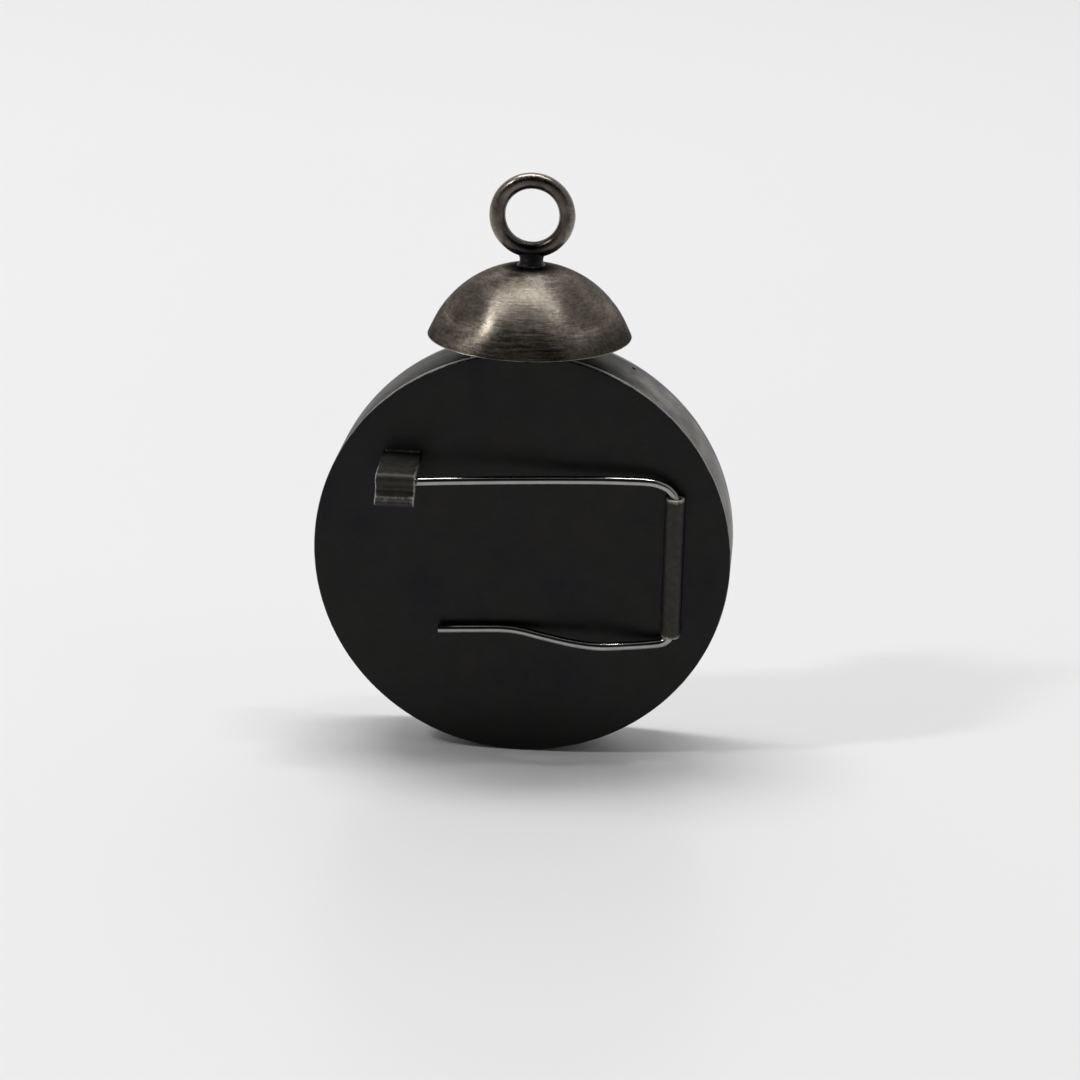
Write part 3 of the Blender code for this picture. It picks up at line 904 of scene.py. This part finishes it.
def catch_middle_line():
    """The strip's middle line, as (height over the back plate, Z), from the plate to the lip."""
    start = Vector((-CATCH_ROOT, CATCH_LEDGE_Z))
    crest = CATCH_CREST[:2]
    waist = CATCH_WAIST[:2]
    corners = [start]
    corners += rounded_corner(start, crest, waist, CATCH_CREST[2], CATCH_BEND_STEPS)
    corners += rounded_corner(crest, waist, CATCH_LIP, CATCH_WAIST[2], CATCH_BEND_STEPS)
    corners.append(Vector(CATCH_LIP))
    line = []
    for first, second in zip(corners, corners[1:]):
        pieces = max(1, round((second - first).length / CATCH_STEP))
        line += [first.lerp(second, step / pieces) for step in range(pieces)]
    line.append(corners[-1])
    return line


def offset_line(line, distance):
    """The same line moved sideways by a distance."""
    moved = []
    for index, point in enumerate(line):
        ahead = line[min(index + 1, len(line) - 1)] - point
        behind = point - line[max(index - 1, 0)]
        along = (ahead.normalized() + behind.normalized()).normalized()
        moved.append(point + Vector((-along.y, along.x)) * distance)
    return moved


def add_catch(material):
    """The catch: a strip bent into a hook, its edges rounded by filing."""
    low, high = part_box("catch")
    half = CATCH_THICKNESS / 2
    middle = catch_middle_line()
    width = high.x - low.x
    mesh = bmesh.new()
    columns = []
    for index in range(CATCH_ACROSS + 1):
        x = low.x + width * index / CATCH_ACROSS
        outline = offset_line(middle, half) + offset_line(middle, -half)[::-1]
        columns.append([mesh.verts.new((x, BACK_Y - out, up)) for out, up in outline])
    for first, second in zip(columns, columns[1:]):
        bridge_rings(mesh, first, second)
    mesh.faces.new(columns[0])
    mesh.faces.new(columns[-1])
    bmesh.ops.recalc_face_normals(mesh, faces=mesh.faces)
    sharp = [edge for edge in mesh.edges if edge.is_manifold and edge.calc_face_angle() > BEVEL_ANGLE]
    bmesh.ops.bevel(mesh, geom=sharp, offset=CATCH_EDGE, segments=BEVEL_STEPS, affect="EDGES", profile=0.5)
    piece = add_piece("catch_strip", mesh, material, "case")
    crest_out = CATCH_CREST[0] + half
    lip_z = CATCH_WAIST[1] - LIP_BRIGHT_BELOW_WAIST

    # Bright marks: a painted highlight along the crest, wear and painted highlight on the side edges that
    # grows away from the plate, and a lighter lip.
    def wear_and_highlight_share(point):
        out = BACK_Y - point.y
        from_side = min(point.x - low.x, high.x - point.x)
        at_side = (1.0 - from_side / SIDE_WEAR_AND_HIGHLIGHT) * min(out / SIDE_HIGHLIGHT_FULL_OUT, 1.0)
        at_crest = CREST_HIGHLIGHT_SHARE - abs(out - crest_out) / CREST_HIGHLIGHT
        at_lip = min(max((lip_z - point.z) / LIP_BRIGHTENING, 0.0), 1.0) * LIP_BRIGHT_SHARE
        return max(at_side, at_crest, at_lip)

    mark(piece, "wear_and_highlight", wear_and_highlight_share)
    # Painted shade at the catch's foot, fading out from the plate.
    mark(piece, "painted_shade", lambda point: 1.0 - (BACK_Y - point.y) / CATCH_SHADE_OUT)
    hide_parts("catch")


def add_catch_solder(material):
    """The uneven bead of solder along the foot of the catch."""
    low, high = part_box("catch")
    first_x = low.x + BEAD_INSET
    length = high.x - low.x - BEAD_INSET * 2
    points = []
    radii = []
    for index in range(CATCH_SOLDER_STEPS + 1):
        x = first_x + length * index / CATCH_SOLDER_STEPS
        points.append(Vector((x, BACK_Y - BEAD_OFFSET, high.z - BEAD_OFFSET)))
        ripple = 1.0 + BEAD_RIPPLE * noise.noise(Vector((x * 1500.0, 4.0, 7.0)))
        radii.append(BEAD_RADIUS * ripple)
    piece = add_piece("catch_solder", wire_mesh(points, radii), material, "case")
    mark(piece, "wear_and_highlight", lambda point: BEAD_BRIGHT_SHARE)
    mark(piece, "painted_shade", lambda point: 0.0)


def stem_radius(point):
    """The wire's radius along the stem: less towards its sharpened point and where it laps the tail."""
    if point.x > WIRE_SPLIT_X:
        return WIRE_RADIUS * LAP_SHARE
    tip_x = STEM_ROUTE[-1][0] * MM
    share = max((STEM_TAPER_FROM_X - point.x) / (STEM_TAPER_FROM_X - tip_x), 0.0)
    return WIRE_RADIUS + (STEM_POINT_RADIUS - WIRE_RADIUS) * share


def add_pin(material):
    """The wire in two pieces: the tail with its axle, and the stem."""
    bend = smooth_route(UPPER_BEND_ROUTE)
    tail_side = [point for point in bend if point.x > WIRE_SPLIT_X - WIRE_LAP]
    tail = smooth_route(TAIL_ROUTE)
    axle = [tail_side[-1].lerp(tail[0], step / AXLE_STEPS) for step in range(1, AXLE_STEPS)]
    spring_points = tail_side + axle + tail
    spring_mesh = wire_mesh(spring_points, [WIRE_RADIUS] * len(spring_points))
    spring = add_piece("pin_tail", spring_mesh, material, "pin_base")
    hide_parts("pin_spring")
    stem_side = [point for point in bend if point.x <= WIRE_SPLIT_X + WIRE_LAP]
    stem_points = stem_side[::-1] + smooth_route(STEM_ROUTE)
    stem_mesh = wire_mesh(stem_points, [stem_radius(point) for point in stem_points])
    stem = add_piece("pin_stem_wire", stem_mesh, material, None)
    stem_start = stem_points[0].copy()
    stem_start.x = WIRE_SPLIT_X
    stem_end = stem_start.copy()
    stem_end.x = FLEX_END_X
    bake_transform(stem)
    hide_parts("pin_stem")


# ------------------------------------------------------- floor, lights, camera


def floor_finish():
    """Pale, slightly shiny card, with a faint tooth."""
    made = Finish("floor")
    made.shader.inputs["Metallic"].default_value = 0.0
    made.shader.inputs["Specular IOR Level"].default_value = 0.18
    clouds = made.grain(made.place, 3.0, detail=2.0)
    colour = made.ramp(clouds, [(0.3, (0.815, 0.813, 0.815)), (0.7, (0.835, 0.833, 0.835))])
    satin = made.ramp(clouds, [(0.3, 0.29), (0.7, 0.32)])
    tooth = made.bump(made.grain(made.place, 1400.0, detail=2.0), 0.003 * MM)
    return made.finish(colour, satin, tooth)


def add_floor():
    """A wide pale floor that the brooch stands on, cut finer towards the middle."""
    section = [(FLOOR_HALF_SIZE * share**2, -CASE_RADIUS) for share in FLOOR_RINGS]
    floor = add_piece("floor", turned(section, SMALL_SEGMENTS, False), floor_finish(), None)


def add_area_light(name, place, aim, width, height, power):
    """A rectangular lamp at a place, pointed at another."""
    light = bpy.data.lights.new(name, "AREA")
    light.shape = "RECTANGLE"
    light.size = width
    light.size_y = height
    light.energy = power
    lamp = bpy.data.objects.new(name, light)
    lamp.location = place
    lamp.rotation_euler = (Vector(aim) - Vector(place)).to_track_quat("-Z", "Y").to_euler()
    bpy.context.scene.collection.objects.link(lamp)


def add_room():
    """A white tent, brightest behind and open in front above the table, where it is dark."""
    world = bpy.data.worlds.new("room")
    world.use_nodes = True
    tree = world.node_tree
    background = tree.nodes["Background"]

    def maths(operation, first, second=0.0):
        return node_maths(tree, operation, first, second)

    direction = tree.nodes.new("ShaderNodeTexCoord").outputs["Generated"]
    split = tree.nodes.new("ShaderNodeSeparateXYZ")
    tree.links.new(direction, split.inputs["Vector"])
    side, back, up = (split.outputs[axis] for axis in "XYZ")
    ahead = maths("MULTIPLY", back, -1.0)
    past_side = maths("SUBTRACT", maths("ABSOLUTE", side), maths("MULTIPLY", ahead, TENT_SIDE))
    past_roof = maths("SUBTRACT", up, maths("MULTIPLY", ahead, TENT_ROOF))
    past_table = maths("SUBTRACT", TABLE_EDGE, up)
    outside = maths("MAXIMUM", maths("MAXIMUM", past_side, past_roof), past_table)
    tent = node_fade(tree, outside, *TENT_EDGE_FADE, FRONT_GLOW, TENT_GLOW)
    behind = node_fade(tree, back, *BACK_FADE, 0.0, BACK_GLOW)
    tree.links.new(maths("ADD", tent, behind), background.inputs["Strength"])
    background.inputs["Color"].default_value = TENT_WHITE
    bpy.context.scene.world = world


def add_lights():
    """A soft panel overhead, a small lamp on the left in front, and another high on the right."""
    for lamp in LAMPS:
        add_area_light(*lamp)


def add_camera():
    """The camera stands in front of the pin side, a little to its right, and looks down on it."""
    back = Vector((
        math.sin(CAMERA_TURN) * math.cos(CAMERA_RISE),
        -math.cos(CAMERA_TURN) * math.cos(CAMERA_RISE),
        math.sin(CAMERA_RISE),
    ))
    level_right = (-back).cross(Vector((0.0, 0.0, 1.0))).normalized()
    level_up = level_right.cross(-back)
    right = level_right * math.cos(CAMERA_ROLL) + level_up * math.sin(CAMERA_ROLL)
    up = level_up * math.cos(CAMERA_ROLL) - level_right * math.sin(CAMERA_ROLL)
    place = Matrix((right, up, back)).transposed().to_4x4()
    place.translation = Vector((CAMERA_AIM_X, BACK_Y, CAMERA_AIM_Z)) + back * CAMERA_DISTANCE
    lens = bpy.data.cameras.new("camera")
    lens.lens = CAMERA_LENS_MM
    lens.sensor_width = CAMERA_SENSOR_MM
    lens.clip_start = CAMERA_NEAR
    camera = bpy.data.objects.new("camera", lens)
    camera.matrix_world = place
    bpy.context.scene.collection.objects.link(camera)
    bpy.context.scene.camera = camera


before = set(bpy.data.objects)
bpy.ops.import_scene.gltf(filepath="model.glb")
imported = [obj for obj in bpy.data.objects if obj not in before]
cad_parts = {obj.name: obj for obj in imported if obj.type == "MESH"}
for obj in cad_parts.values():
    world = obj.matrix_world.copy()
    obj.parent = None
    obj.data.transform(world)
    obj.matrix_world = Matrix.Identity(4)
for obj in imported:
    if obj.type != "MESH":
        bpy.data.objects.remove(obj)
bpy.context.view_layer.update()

# Places that follow from the CAD boxes.
CASE_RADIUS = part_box("back_plate")[1].x
BACK_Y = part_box("back_plate")[0].y
CASE_MIDDLE_Y = BACK_Y / 2
FACE_THE_FRONT = Matrix.Rotation(math.pi / 2, 4, "X")

dark_plate = dark_plate_finish()
brushed_band = band_finish()
dome_metal = dome_finish()
ring_metal = ring_finish()
black_solder = solder_finish()
finding_metal = finding_finish()
pin_wire = pin_finish()

add_plates(dark_plate)
add_band(brushed_band)
add_dome(dome_metal)
add_post(dome_metal)
add_ring(ring_metal)
add_neck(black_solder)
add_tube(finding_metal)
add_tube_solder(black_solder)
add_catch(finding_metal)
add_catch_solder(finding_metal)
add_pin(pin_wire)
add_floor()
add_room()
add_lights()
add_camera()
bpy.context.scene.view_settings.view_transform = "Standard"
